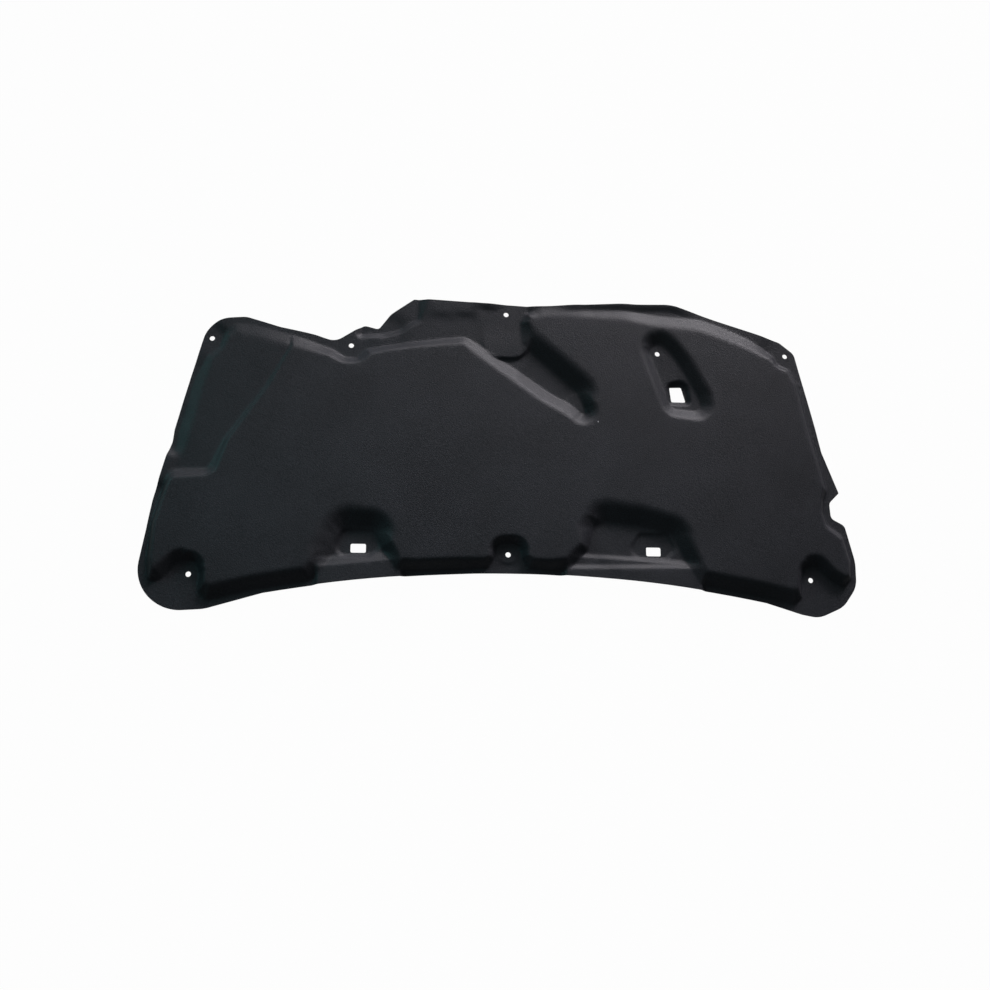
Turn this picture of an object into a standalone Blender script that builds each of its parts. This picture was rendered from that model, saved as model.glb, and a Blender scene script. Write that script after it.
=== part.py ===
"""Moulded felt insulation pad for the underside of a car bonnet.

One sheet of felt pressed between two tools. It lies engine side up, resting on its pressed rim.
X runs along its width, Y towards the front edge of the bonnet, Z up, all in metres. Places are
given from the middle of the clip pattern, and the finished sheet is moved so that the origin is
under the middle of its outline, at the resting plane.

The upper face is a height field: a pressed rim, a raised body with sloped walls, and pockets
pressed into it. The lower face lies one sheet thickness under it, lofted on the body and pressed
hard at the rim, so the sheet is thinner where the real one is.
"""
import math

import bmesh
import bpy
import numpy as np
from mathutils.geometry import delaunay_2d_cdt

NODE = "hood_insulation_pad"

# Sheet
BODY_THICKNESS = 0.010
RIM_THICKNESS = 0.003
BODY_HEIGHT = 0.027
CROWN_SPAN_X = 0.620
CROWN_DROP_X = 0.004
CROWN_SPAN_Y = 0.240
CROWN_DROP_Y = 0.003
CROWN_Y = 0.020

# Share of a wall's run that its foot and its crest round over
FOOT_ROUND = 0.15
CREST_ROUND = 0.40

# Holes for the push clips, and the flat pressed land round each
CLIP_HOLE_DIAMETER = 0.010
CLIP_LAND_RADIUS = 0.013
LAND_WALL_RUN = 0.008
REAR_CLIP_X = 0.574
REAR_CLIP_Y = -0.241
REAR_MID_CLIP_Y = -0.200
FRONT_CLIP_X = 0.5555
FRONT_CLIP_Y = 0.207
INNER_CLIP_X = 0.296
INNER_CLIP_Y = 0.201
FRONT_MID_CLIP_Y = 0.272

# Openings for the washer hoses and for the bonnet prop
HOSE_X = 0.274
HOSE_Y = -0.190
HOSE_HOLE_WIDTH = 0.028
HOSE_HOLE_DEPTH = 0.017
HOSE_HOLE_ROUND = 0.003
PROP_X = 0.333
PROP_Y = 0.120

# Crease where the left shelf meets the body
SHELF_CREASE_FRONT = (-0.403, 0.190)
SHELF_CREASE_REAR = (-0.545, -0.050)

# Front edge, and the rear edge, a long arc
FRONT_EDGE_Y = 0.307
REAR_EDGE_Y = -0.2345
REAR_ARC_RADIUS = 2.457
REAR_ARC_MIDDLE_X = -0.007
REAR_RIM = 0.006

# Levels of the upper face above the resting plane
LAND_LEVEL = RIM_THICKNESS
REAR_MID_LAND_LEVEL = 0.009
FRONT_LEFT_LAND_LEVEL = 0.008
INNER_LAND_LEVEL = 0.008
FRONT_MID_LAND_LEVEL = 0.013
TONGUE_RISE = 0.0015
POCKET_LEVEL = 0.011
HOSE_SEAT_DROP = 0.003
PROP_SEAT_DROP = 0.007
SILL_HEIGHT = 0.0045
SHELF_STEP_FRONT = 0.003
SHELF_STEP_REAR = 0.011
SHELF_TILT = 0.030
SHELF_GROOVE = 0.002
SHELF_STEP_END = 1.1
FRONT_CURL = 0.0035
FRONT_CURL_WIDTH = 0.016
FRONT_LEDGE_DROP = 0.007

# Facets
EDGE_STEP = 0.016
ARC_STEP = 0.012
HOLE_SIDES = 20
WALL_STEP = 0.017
WALL_RING_STEP = 0.0085
MOST_WALL_RINGS = 5
LATTICE_STEP = 0.033
WALL_GAP = 0.0048
LATTICE_GAP = 0.019
RING_WIDTH = 0.12
LAND_FOOT_SIDES = 12
LAND_CREST_SIDES = 14

REAR_LEFT_CLIP = (-REAR_CLIP_X, REAR_CLIP_Y)
REAR_RIGHT_CLIP = (REAR_CLIP_X, REAR_CLIP_Y)
REAR_MID_CLIP = (0.0, REAR_MID_CLIP_Y)
FRONT_LEFT_CLIP = (-FRONT_CLIP_X, FRONT_CLIP_Y)
FRONT_RIGHT_CLIP = (FRONT_CLIP_X, FRONT_CLIP_Y)
INNER_LEFT_CLIP = (-INNER_CLIP_X, INNER_CLIP_Y)
INNER_RIGHT_CLIP = (INNER_CLIP_X, INNER_CLIP_Y)
FRONT_MID_CLIP = (0.0, FRONT_MID_CLIP_Y)
HOSE_LEFT = (-HOSE_X, HOSE_Y)
HOSE_RIGHT = (HOSE_X, HOSE_Y)
PROP = (PROP_X, PROP_Y)


def near(place, corners):
    """Corners given as offsets from a place: (dx, dy, round) or (dx, dy, round, run)."""
    return [(place[0] + c[0], place[1] + c[1]) + tuple(c[2:]) for c in corners]


def rear_edge_y(x):
    across = x - REAR_ARC_MIDDLE_X
    return REAR_EDGE_Y - REAR_ARC_RADIUS + math.sqrt(REAR_ARC_RADIUS ** 2 - across ** 2)


def rear_wall(xs, run):
    """Foot of a rear wall: parallel to the rear edge, one rim width inside it."""
    return [(x, rear_edge_y(x) + REAR_RIM, 0.0, run) for x in xs]


def outline_corners():
    """The cut edge of the pad, counter-clockwise from the rear left corner."""
    rear_arc = [(x, rear_edge_y(x), 0.0) for x in np.linspace(-0.443, 0.486, 30)]
    return (
        near(REAR_LEFT_CLIP, [(-0.102, -0.070, 0.076), (0.030, -0.062, 0.090)])
        + rear_arc
        + near(REAR_RIGHT_CLIP, [
            (-0.020, -0.065, 0.060), (0.012, -0.071, 0.045), (0.060, -0.050, 0.050),
            (0.088, -0.012, 0.050), (0.0895, 0.035, 0.090), (0.074, 0.106, 0.014), (0.0485, 0.120, 0.012),
            (0.0475, 0.150, 0.012), (0.068, 0.170, 0.002),
        ])
        + [(0.614, 0.010, 0.060), (0.605, 0.060, 0.060)]
        + near(FRONT_RIGHT_CLIP, [(0.018, 0.005, 0.020), (-0.010, 0.028, 0.020), (-0.031, 0.035, 0.040)])
        + near((0.0, FRONT_EDGE_Y), [
            (0.326, -0.0035, 0.090), (0.223, -0.007, 0.150), (0.066, -0.018, 0.400),
            (-0.143, -0.0095, 0.080), (-0.178, -0.0070, 0.003), (-0.223, -0.040, 0.030),
            (-0.245, -0.070, 0.008),
        ])
        + near(INNER_LEFT_CLIP, [(0.024, 0.043, 0.012), (-0.030, 0.007, 0.030)])
        + [(-0.363, 0.219, 0.060), (-0.430, 0.232, 0.080)]
        + near(FRONT_LEFT_CLIP, [(0.062, 0.044, 0.040), (-0.006, 0.038, 0.056), (-0.034, -0.075, 0.060)])
        + [(-0.614, 0.027, 0.040), (-0.616, 0.004, 0.020), (-0.624, -0.022, 0.040), (-0.644, -0.106, 0.060)]
    )


def body_corners():
    """Foot of the walls round the raised body, with the run of the wall at each corner.

    The foot turns in for the rear pockets, the clip lands and the valley that opens at the front.
    """
    return (
        near(REAR_LEFT_CLIP, [
            (-0.076, 0.026, 0.030, 0.014), (-0.073, -0.018, 0.012, 0.018), (-0.044, -0.012, 0.015, 0.030),
            (-0.018, 0.020, 0.014, 0.026), (0.008, 0.024, 0.014, 0.020), (0.018, 0.003, 0.010, 0.016),
            (0.016, -0.030, 0.010, 0.018), (0.030, -0.052, 0.012, 0.034),
        ])
        + rear_wall((-0.460, -0.400, -0.358), 0.031)
        + near(HOSE_LEFT, [
            (-0.062, -0.044, 0.010, 0.036), (-0.036, -0.006, 0.030, 0.056), (-0.028, 0.014, 0.020, 0.056),
            (-0.024, 0.032, 0.012, 0.050), (0.026, 0.036, 0.012, 0.042), (0.040, 0.000, 0.015, 0.028),
            (0.066, -0.041, 0.012, 0.024),
        ])
        + rear_wall((-0.170, -0.090), 0.025)
        + near(REAR_MID_CLIP, [
            (-0.036, -0.027, 0.006, 0.022), (-0.025, -0.008, 0.010, 0.013), (-0.019, 0.019, 0.014, 0.017),
            (0.019, 0.019, 0.014, 0.018), (0.025, -0.008, 0.010, 0.014), (0.036, -0.027, 0.006, 0.022),
        ])
        + rear_wall((0.080,), 0.023)
        + near(HOSE_RIGHT, [
            (-0.160, -0.037, 0.012, 0.025), (-0.122, 0.000, 0.020, 0.025), (-0.108, 0.044, 0.008, 0.040),
            (-0.090, 0.049, 0.008, 0.053), (-0.034, 0.045, 0.100, 0.047), (0.032, 0.030, 0.012, 0.044),
            (0.050, -0.004, 0.015, 0.034), (0.068, -0.040, 0.008, 0.030), (0.080, -0.062, 0.008, 0.031),
        ])
        + rear_wall((0.400, 0.460), 0.033)
        + near(REAR_RIGHT_CLIP, [
            (-0.036, -0.050, 0.010, 0.034), (-0.018, -0.034, 0.010, 0.018), (-0.016, -0.005, 0.010, 0.017),
            (-0.011, 0.021, 0.012, 0.020), (0.008, 0.025, 0.012, 0.026), (0.031, 0.001, 0.015, 0.025),
            (0.062, -0.016, 0.010, 0.022), (0.080, 0.002, 0.012, 0.014), (0.082, 0.035, 0.030, 0.015),
            (0.071, 0.084, 0.015, 0.016), (0.040, 0.107, 0.012, 0.014), (0.035, 0.129, 0.012, 0.014),
            (0.037, 0.153, 0.012, 0.014), (0.046, 0.173, 0.008, 0.016),
        ])
        + [(0.609, -0.009, 0.040, 0.019), (0.595, 0.045, 0.040, 0.017)]
        + near(FRONT_RIGHT_CLIP, [
            (0.021, -0.060, 0.015, 0.017), (0.006, -0.027, 0.012, 0.018), (-0.017, -0.018, 0.010, 0.018),
            (-0.024, 0.000, 0.008, 0.024), (-0.042, 0.014, 0.020, 0.030),
        ])
        + [
            (0.480, 0.242, 0.060, 0.035), (0.425, 0.266, 0.100, 0.038), (0.385, 0.279, 0.080, 0.038),
            (0.305, 0.282, 0.200, 0.035), (0.225, 0.291, 0.200, 0.031), (0.106, 0.291, 0.200, 0.027),
        ]
        + near(FRONT_MID_CLIP, [
            (0.062, 0.015, 0.030, 0.026), (0.036, 0.004, 0.012, 0.016), (0.025, -0.014, 0.010, 0.022),
            (0.026, -0.060, 0.010, 0.045),
        ])
        + [
            (0.080, 0.164, 0.080, 0.045), (0.1325, 0.117, 0.012, 0.045), (0.148, 0.086, 0.0, 0.024),
            (0.153, 0.058, 0.003, 0.022), (0.143, 0.079, 0.010, 0.034), (0.124, 0.096, 0.060, 0.037),
            (0.084, 0.118, 0.200, 0.037), (0.020, 0.163, 0.200, 0.036), (-0.051, 0.209, 0.040, 0.030),
            (-0.080, 0.226, 0.030, 0.024), (-0.166, 0.213, 0.060, 0.020),
        ]
        + near(INNER_LEFT_CLIP, [
            (0.064, 0.001, 0.030, 0.019), (0.028, -0.005, 0.012, 0.023), (0.011, -0.024, 0.012, 0.021),
            (-0.011, -0.023, 0.012, 0.022), (-0.031, -0.009, 0.020, 0.025),
        ])
        + [(-0.392, 0.2155, 0.080, 0.033), (-0.478, 0.238, 0.060, 0.033)]
        + near(FRONT_LEFT_CLIP, [
            (0.036, 0.034, 0.015, 0.026), (0.021, 0.008, 0.010, 0.016), (0.014, -0.017, 0.012, 0.012),
            (-0.007, -0.032, 0.020, 0.018), (-0.028, -0.075, 0.040, 0.027),
        ])
        + [(-0.608, 0.027, 0.040, 0.029), (-0.612, -0.002, 0.030, 0.028), (-0.620, -0.045, 0.030, 0.022),
           (-0.630, -0.088, 0.040, 0.013), (-0.645, -0.150, 0.060, 0.012)]
    )


def shelf_corners():
    """Foot of the step down to the shelf in the front left of the body."""
    return near(SHELF_CREASE_FRONT, [(-0.011, 0.004, 0.0, 0.011), (-0.053, -0.074, 0.0, 0.014)]) + near(
        SHELF_CREASE_REAR, [
            (0.019, 0.060, 0.0, 0.015), (-0.006, 0.007, 0.010, 0.024), (-0.071, 0.006, 0.020, 0.029),
            (-0.160, 0.020, 0.0, 0.031), (-0.160, 0.370, 0.0, 0.020), (0.131, 0.370, 0.0, 0.009),
        ])


def prop_pocket_corners():
    """Floor of the deep pocket round the inner right clip and the prop opening."""
    return near(INNER_RIGHT_CLIP, [
        (-0.014, 0.006, 0.010, 0.026), (-0.006, 0.018, 0.010, 0.030), (0.007, 0.018, 0.012, 0.032),
        (0.022, 0.005, 0.015, 0.030), (0.042, -0.026, 0.080, 0.032), (0.074, -0.088, 0.040, 0.032),
        (0.082, -0.114, 0.010, 0.030), (0.025, -0.110, 0.012, 0.028), (-0.005, -0.025, 0.080, 0.026),
    ])


def hose_seat_corners(place, side):
    """Seat pressed into a rear pocket floor round a hose opening."""
    corners = [
        (-0.028 * side, -0.010, 0.010, 0.010), (0.019 * side, -0.011, 0.008, 0.010),
        (0.036 * side, 0.004, 0.010, 0.010), (0.026 * side, 0.030, 0.010, 0.008),
        (-0.026 * side, 0.030, 0.010, 0.008), (-0.038 * side, 0.004, 0.010, 0.012),
    ]
    return near(place, corners)


def sill_corners(place, left, front_left, right, front_right):
    """Raised sill of the rim behind a rear pocket, between the pocket floor and the rear edge."""
    return near(place, [
        (left, front_left, 0.0, 0.013), (right, front_right, 0.0, 0.013),
        (right, -0.120, 0.0, 0.013), (left, -0.120, 0.0, 0.013),
    ])


def prop_seat_corners():
    return near(PROP, [
        (-0.014, -0.017, 0.004, 0.008), (0.019, -0.017, 0.004, 0.009), (0.013, 0.019, 0.011, 0.012),
        (-0.016, 0.017, 0.011, 0.010),
    ])


def prop_hole_corners():
    return near(PROP, [
        (-0.012, -0.015, 0.003), (0.017, -0.015, 0.003), (0.009, 0.016, 0.003), (-0.015, 0.015, 0.003),
    ])


def tongue_corners():
    """Half-round land that runs in from the front edge at the middle clip."""
    return near(FRONT_MID_CLIP, [
        (-0.042, -0.068, 0.020, 0.012), (-0.022, -0.087, 0.020, 0.007), (0.024, -0.087, 0.020, 0.007),
        (0.040, -0.066, 0.020, 0.010), (0.040, 0.080, 0.0, 0.010), (-0.042, 0.080, 0.0, 0.030),
    ])


def front_ledge_corners():
    """Foot of the ledge between the front flange and the lower rim left of it."""
    return near(INNER_LEFT_CLIP, [
        (0.020, 0.027, 0.0, 0.016), (0.060, 0.028, 0.020, 0.014), (0.092, 0.038, 0.020, 0.014),
        (0.125, 0.060, 0.010, 0.014), (0.126, 0.120, 0.0, 0.034), (0.020, 0.120, 0.0, 0.010),
    ])


def hose_hole_corners(place):
    across = HOSE_HOLE_WIDTH / 2
    along = HOSE_HOLE_DEPTH / 2
    r = HOSE_HOLE_ROUND
    return near(place, [(-across, -along, r), (across, -along, r), (across, along, r), (-across, along, r)])


# Level of the pressed rim and of the valley floor, at places where it is known
RIM_LEVELS = (
    [(clip[0], clip[1], LAND_LEVEL) for clip in (REAR_LEFT_CLIP, REAR_RIGHT_CLIP, FRONT_RIGHT_CLIP)]
    + [
        (*REAR_MID_CLIP, REAR_MID_LAND_LEVEL), (*FRONT_LEFT_CLIP, FRONT_LEFT_LAND_LEVEL),
        (*INNER_LEFT_CLIP, INNER_LAND_LEVEL), (*FRONT_MID_CLIP, FRONT_MID_LAND_LEVEL),
        (0.000, -0.228, 0.007),
        (-0.450, -0.280, 0.003), (-0.150, -0.238, 0.004), (0.150, -0.238, 0.004), (0.450, -0.280, 0.003),
        (-0.274, -0.190, 0.006), (0.274, -0.190, 0.006), (0.200, -0.170, 0.006),
        (0.640, -0.150, 0.004), (0.620, -0.080, 0.004), (0.600, 0.060, 0.004),
        (0.470, 0.255, 0.008), (0.300, 0.300, 0.012), (0.190, 0.300, 0.017), (0.100, 0.298, 0.0195),
        (-0.080, 0.245, 0.0125), (-0.080, 0.292, 0.0155),
        (-0.125, 0.240, 0.0125), (-0.125, 0.292, 0.0155), (-0.160, 0.225, 0.0125),
        (-0.050, 0.212, 0.013), (0.000, 0.165, 0.010), (0.060, 0.150, 0.007),
        (0.105, 0.125, 0.007), (0.140, 0.095, 0.009),
        (-0.230, 0.235, 0.010), (-0.190, 0.285, 0.013), (-0.430, 0.230, 0.013), (-0.520, 0.245, 0.012),
        (-0.590, 0.120, 0.006), (-0.612, 0.010, 0.004), (-0.622, -0.045, 0.012), (-0.640, -0.110, 0.006),
        (-0.655, -0.190, 0.004),
    ]
)
LEVEL_FALL_OFF = 4
# Share of an edge that its two roundings may take, and the largest turn of one piece of an arc
ROUNDED_SHARE = 0.98
LARGEST_TURN = 0.5


def rounding_cuts(corners):
    """How far each corner's rounding reaches along its two edges, shortened where they meet."""
    places = np.array([c[:2] for c in corners])
    back = np.roll(places, 1, axis=0) - places
    ahead = np.roll(places, -1, axis=0) - places
    lengths = np.hypot(ahead[:, 0], ahead[:, 1])
    cosines = (back * ahead).sum(axis=1) / (lengths * np.roll(lengths, 1))
    half_angles = np.arccos(np.clip(cosines, -1.0, 1.0)) / 2
    cuts = np.array([c[2] for c in corners]) / np.tan(half_angles)
    fit = np.minimum(1.0, ROUNDED_SHARE * lengths / np.maximum(cuts + np.roll(cuts, -1), 1e-9))
    return cuts * np.minimum(fit, np.roll(fit, 1)), half_angles


def rounded(corners, step=ARC_STEP):
    """Closed outline through the corners, each rounded to its radius, as x, y, run rows."""
    rows = []
    cuts, half_angles = rounding_cuts(corners)
    for i, corner in enumerate(corners):
        here = np.array(corner[:2])
        run = corner[3] if len(corner) > 3 else 0.0
        if cuts[i] < 1e-5 or half_angles[i] > math.radians(89.5):
            rows.append((here[0], here[1], run))
            continue
        back = np.array(corners[i - 1][:2]) - here
        ahead = np.array(corners[(i + 1) % len(corners)][:2]) - here
        back, ahead = back / np.hypot(*back), ahead / np.hypot(*ahead)
        radius = cuts[i] * math.tan(half_angles[i])
        middle = (back + ahead) / np.hypot(*(back + ahead))
        centre = here + middle * radius / math.sin(half_angles[i])
        start, end = here + back * cuts[i] - centre, here + ahead * cuts[i] - centre
        first = math.atan2(start[1], start[0])
        turn = (math.atan2(end[1], end[0]) - first + math.pi) % (2 * math.pi) - math.pi
        pieces = max(2, math.ceil(abs(turn) * radius / step), math.ceil(abs(turn) / LARGEST_TURN))
        for k in range(pieces + 1):
            angle = first + turn * k / pieces
            rows.append((centre[0] + radius * math.cos(angle), centre[1] + radius * math.sin(angle), run))
    return np.array(rows)


def edge_distances(points, loop):
    """Yield, for each edge of a closed outline, the points' distance to it and the run there."""
    ends = np.roll(loop, -1, axis=0)
    for (ax, ay, arun), (bx, by, brun) in zip(loop, ends):
        ex, ey = bx - ax, by - ay
        length2 = ex * ex + ey * ey
        if length2 < 1e-14:
            continue
        along = np.clip(((points[:, 0] - ax) * ex + (points[:, 1] - ay) * ey) / length2, 0.0, 1.0)
        distance = np.hypot(points[:, 0] - ax - along * ex, points[:, 1] - ay - along * ey)
        yield distance, arun + (brun - arun) * along


def inside(points, loop):
    """True where a point lies inside a closed outline."""
    result = np.zeros(len(points), bool)
    ends = np.roll(loop, -1, axis=0)
    for (ax, ay, _), (bx, by, _) in zip(loop, ends):
        if ay == by:
            continue
        spans = (ay > points[:, 1]) != (by > points[:, 1])
        crossing = ax + (points[:, 1] - ay) / (by - ay) * (bx - ax)
        result ^= spans & (points[:, 0] < crossing)
    return result


def reach(points, loop):
    """Distance to an outline as a share of the wall's run there."""
    best = np.full(len(points), np.inf)
    for distance, run in edge_distances(points, loop):
        best = np.minimum(best, distance / np.maximum(run, 1e-6))
    return best


def ease(share):
    """S-shaped rise from 0 to 1."""
    share = np.clip(share, 0.0, 1.0)
    return share * share * (3.0 - 2.0 * share)


def wall_rise(share):
    """Rise from 0 at a wall's foot to 1 at its crest: straight, with both ends rounded."""
    share = np.clip(share, 0.0, 1.0)
    slope = 1.0 / (1.0 - (FOOT_ROUND + CREST_ROUND) / 2)
    foot = slope * share ** 2 / (2 * FOOT_ROUND)
    straight = slope * (share - FOOT_ROUND / 2)
    crest = 1.0 - slope * (1.0 - share) ** 2 / (2 * CREST_ROUND)
    return np.where(share < FOOT_ROUND, foot, np.where(share > 1.0 - CREST_ROUND, crest, straight))


def risen(points, loop):
    """0 outside an outline, rising to 1 over the run of its wall inside."""
    return np.where(inside(points, loop), wall_rise(reach(points, loop)), 0.0)


def pressed(points, loop):
    """1 inside an outline, falling to 0 over the run of its wall outside."""
    return np.where(inside(points, loop), 1.0, 1.0 - wall_rise(reach(points, loop)))


def disc_pressed(points, centre, radius, run):
    distance = np.hypot(points[:, 0] - centre[0], points[:, 1] - centre[1])
    return 1.0 - ease((distance - radius) / run)


def rim_level(points):
    """Smooth level through the known rim levels."""
    total = np.zeros(len(points))
    weight_sum = np.zeros(len(points))
    for x, y, level in RIM_LEVELS:
        distance2 = (points[:, 0] - x) ** 2 + (points[:, 1] - y) ** 2 + 1e-7
        weight = distance2 ** (-LEVEL_FALL_OFF / 2)
        total += weight * level
        weight_sum += weight
    return total / weight_sum


def crown(points):
    across = points[:, 0] / CROWN_SPAN_X
    along = (points[:, 1] - CROWN_Y) / CROWN_SPAN_Y
    return BODY_HEIGHT - CROWN_DROP_X * across ** 2 - CROWN_DROP_Y * along ** 2


def shelf_step(points):
    """Depth of the shelf under the crown: grows along its crease, and away from it."""
    front, rear = np.array(SHELF_CREASE_FRONT), np.array(SHELF_CREASE_REAR)
    length = np.hypot(*(rear - front))
    ahead = (rear - front) / length
    along = np.clip((points - front) @ ahead / length, 0.0, SHELF_STEP_END)
    away = np.maximum(0.0, (points - front) @ np.array([ahead[1], -ahead[0]]))
    return SHELF_STEP_FRONT + (SHELF_STEP_REAR - SHELF_STEP_FRONT) * along + SHELF_TILT * away


OUTLINE = rounded(outline_corners())
OUTLINE_MIDDLE = (OUTLINE.min(axis=0) + OUTLINE.max(axis=0))[:2] / 2
BODY = rounded(body_corners())
SHELF = rounded(shelf_corners())
PROP_POCKET = rounded(prop_pocket_corners())
PROP_SEAT = rounded(prop_seat_corners())
TONGUE = rounded(tongue_corners())
FRONT_LEDGE = rounded(front_ledge_corners())
# Where the tongue starts to rise towards its end
TONGUE_RISE_START = 0.250
TONGUE_RISE_RUN = 0.050
# Middle, half length and fade of the two stretches of the front edge that curl up
FRONT_CURLS = ((0.235, 0.155, 0.060), (-0.035, 0.040, 0.040))
HOSE_SEATS = [rounded(hose_seat_corners(HOSE_LEFT, 1)), rounded(hose_seat_corners(HOSE_RIGHT, 1))]
SILLS = [rounded(sill_corners(place, *fronts)) for place, fronts in (
    (HOSE_LEFT, (-0.070, -0.027, 0.075, -0.014)), (HOSE_LEFT, (-0.070, -0.038, 0.075, -0.022)),
    (HOSE_RIGHT, (-0.165, -0.013, 0.085, -0.028)), (HOSE_RIGHT, (-0.165, -0.037, 0.085, -0.034)),
)]
LANDS = (
    (REAR_LEFT_CLIP, LAND_LEVEL), (REAR_RIGHT_CLIP, LAND_LEVEL), (REAR_MID_CLIP, REAR_MID_LAND_LEVEL),
    (FRONT_LEFT_CLIP, FRONT_LEFT_LAND_LEVEL), (FRONT_RIGHT_CLIP, LAND_LEVEL),
    (INNER_LEFT_CLIP, INNER_LAND_LEVEL), (INNER_RIGHT_CLIP, POCKET_LEVEL),
    (FRONT_MID_CLIP, FRONT_MID_LAND_LEVEL),
)


def surface(points):
    """Height of the upper face and thickness of the sheet under it, at each point."""
    floor = rim_level(points)
    for sill in SILLS:
        floor = floor + SILL_HEIGHT * pressed(points, sill)
    tongue_rise = TONGUE_RISE * ease((TONGUE_RISE_START - points[:, 1]) / TONGUE_RISE_RUN)
    tongue_level = FRONT_MID_LAND_LEVEL + tongue_rise
    floor = floor + (tongue_level - floor) * pressed(points, TONGUE)
    floor = floor - FRONT_LEDGE_DROP * pressed(points, FRONT_LEDGE)
    edge = np.full(len(points), np.inf)
    for distance, _ in edge_distances(points, OUTLINE):
        edge = np.minimum(edge, distance)
    curled = sum(ease((half - np.abs(points[:, 0] - middle)) / fade) for middle, half, fade in FRONT_CURLS)
    curled *= points[:, 1] > INNER_CLIP_Y
    floor = floor + FRONT_CURL * curled * ease(1.0 - edge / FRONT_CURL_WIDTH)
    for seat in HOSE_SEATS:
        floor = floor - HOSE_SEAT_DROP * pressed(points, seat)

    sunk = pressed(points, SHELF)
    top = crown(points) - shelf_step(points) * sunk - 4.0 * SHELF_GROOVE * sunk * (1.0 - sunk)
    loft = risen(points, BODY)
    height = floor + (top - floor) * loft

    pocket = pressed(points, PROP_POCKET)
    pocket_floor = POCKET_LEVEL - PROP_SEAT_DROP * pressed(points, PROP_SEAT)
    height = height + (pocket_floor - height) * pocket
    loft = loft * (1.0 - pocket)

    for clip, level in LANDS:
        land = disc_pressed(points, clip, CLIP_LAND_RADIUS, LAND_WALL_RUN)
        height = height + (level - height) * land
        loft = loft * (1.0 - land)
    thickness = RIM_THICKNESS + (BODY_THICKNESS - RIM_THICKNESS) * loft
    return height, np.minimum(thickness, height)


def divided(loop, step):
    """Outline points with the long edges divided."""
    points = []
    ends = np.roll(loop, -1, axis=0)
    for start, end in zip(loop, ends):
        length = math.hypot(end[0] - start[0], end[1] - start[1])
        pieces = max(1, round(length / step))
        for k in range(pieces):
            points.append(start[:2] + (end[:2] - start[:2]) * k / pieces)
    return np.array(points)


def circle(centre, radius, sides):
    angles = np.arange(sides) * 2 * math.pi / sides
    return np.stack([centre[0] + radius * np.cos(angles), centre[1] + radius * np.sin(angles)], axis=1)


def closed(points):
    """An outline of plain points in the form that inside() takes."""
    return np.column_stack([points, np.zeros(len(points))])


def hole_loops():
    loops = [circle(clip, CLIP_HOLE_DIAMETER / 2, HOLE_SIDES) for clip, _ in LANDS]
    for place in (HOSE_LEFT, HOSE_RIGHT):
        loops.append(divided(rounded(hose_hole_corners(place)), EDGE_STEP))
    loops.append(divided(rounded(prop_hole_corners()), EDGE_STEP))
    return loops


def wall_points(loop, side):
    """Rows of points up a wall: side is 1 where the wall rises inside its foot, -1 outside."""
    points = []
    ends = np.roll(loop, -1, axis=0)
    for start, end in zip(loop, ends):
        edge = end[:2] - start[:2]
        length = np.hypot(*edge)
        if length < 1e-9:
            continue
        inward = np.array([-edge[1], edge[0]]) / length * side
        pieces = max(1, round(length / WALL_STEP))
        for k in range(pieces):
            foot = start[:2] + edge * (k + 0.5) / pieces
            run = start[2] + (end[2] - start[2]) * (k + 0.5) / pieces
            rings = min(MOST_WALL_RINGS, max(1, round(run / WALL_RING_STEP)))
            points += [(ring / rings, foot + inward * run * ring / rings) for ring in range(rings + 1)]
    return points


def on_wall(point, ring, loop):
    """True where no other stretch of the outline is nearer than the one the point came from."""
    return abs(float(reach(point[None, :], loop)[0]) - ring) < RING_WIDTH


def inner_points(edges):
    """Points inside the sheet: rings up each wall, rings on the lands, then a sparse lattice."""
    candidates = []
    for clip, _ in LANDS:
        for radius, sides in ((CLIP_LAND_RADIUS, LAND_FOOT_SIDES),
                              (CLIP_LAND_RADIUS + LAND_WALL_RUN, LAND_CREST_SIDES)):
            candidates += [(p, WALL_GAP) for p in circle(clip, radius, sides)]
    for loop, side in ((BODY, 1), (PROP_POCKET, -1), (SHELF, -1), (PROP_SEAT, -1), (TONGUE, -1),
                       (FRONT_LEDGE, -1), (HOSE_SEATS[0], -1), (HOSE_SEATS[1], -1), (SILLS[1], -1),
                       (SILLS[3], -1), (SILLS[0], -1), (SILLS[2], -1)):
        candidates += [(p, WALL_GAP) for ring, p in wall_points(loop, side) if on_wall(p, ring, loop)]
    rows = math.ceil(np.abs(OUTLINE[:, :2]).max() / LATTICE_STEP)
    for row in range(-rows, rows + 1):
        for column in range(-rows * 2, rows * 2 + 1):
            x = (column + 0.5 * (row % 2)) * LATTICE_STEP
            candidates.append((np.array([x, row * LATTICE_STEP * math.sqrt(0.75)]), LATTICE_GAP))

    places = np.array([p for p, _ in candidates])
    keep = inside(places, OUTLINE)
    kept = list(edges)
    for hole in hole_loops():
        keep &= ~inside(places, closed(hole))
    cells = {}

    def cell(p):
        return (math.floor(p[0] / LATTICE_GAP), math.floor(p[1] / LATTICE_GAP))

    for p in kept:
        cells.setdefault(cell(p), []).append(p)
    result = []
    for (point, gap), usable in zip(candidates, keep):
        if not usable:
            continue
        cx, cy = cell(point)
        near_by = [q for dx in (-1, 0, 1) for dy in (-1, 0, 1) for q in cells.get((cx + dx, cy + dy), [])]
        if any((point[0] - q[0]) ** 2 + (point[1] - q[1]) ** 2 < gap * gap for q in near_by):
            continue
        cells.setdefault((cx, cy), []).append(point)
        result.append(point)
    return np.array(result)


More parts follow.
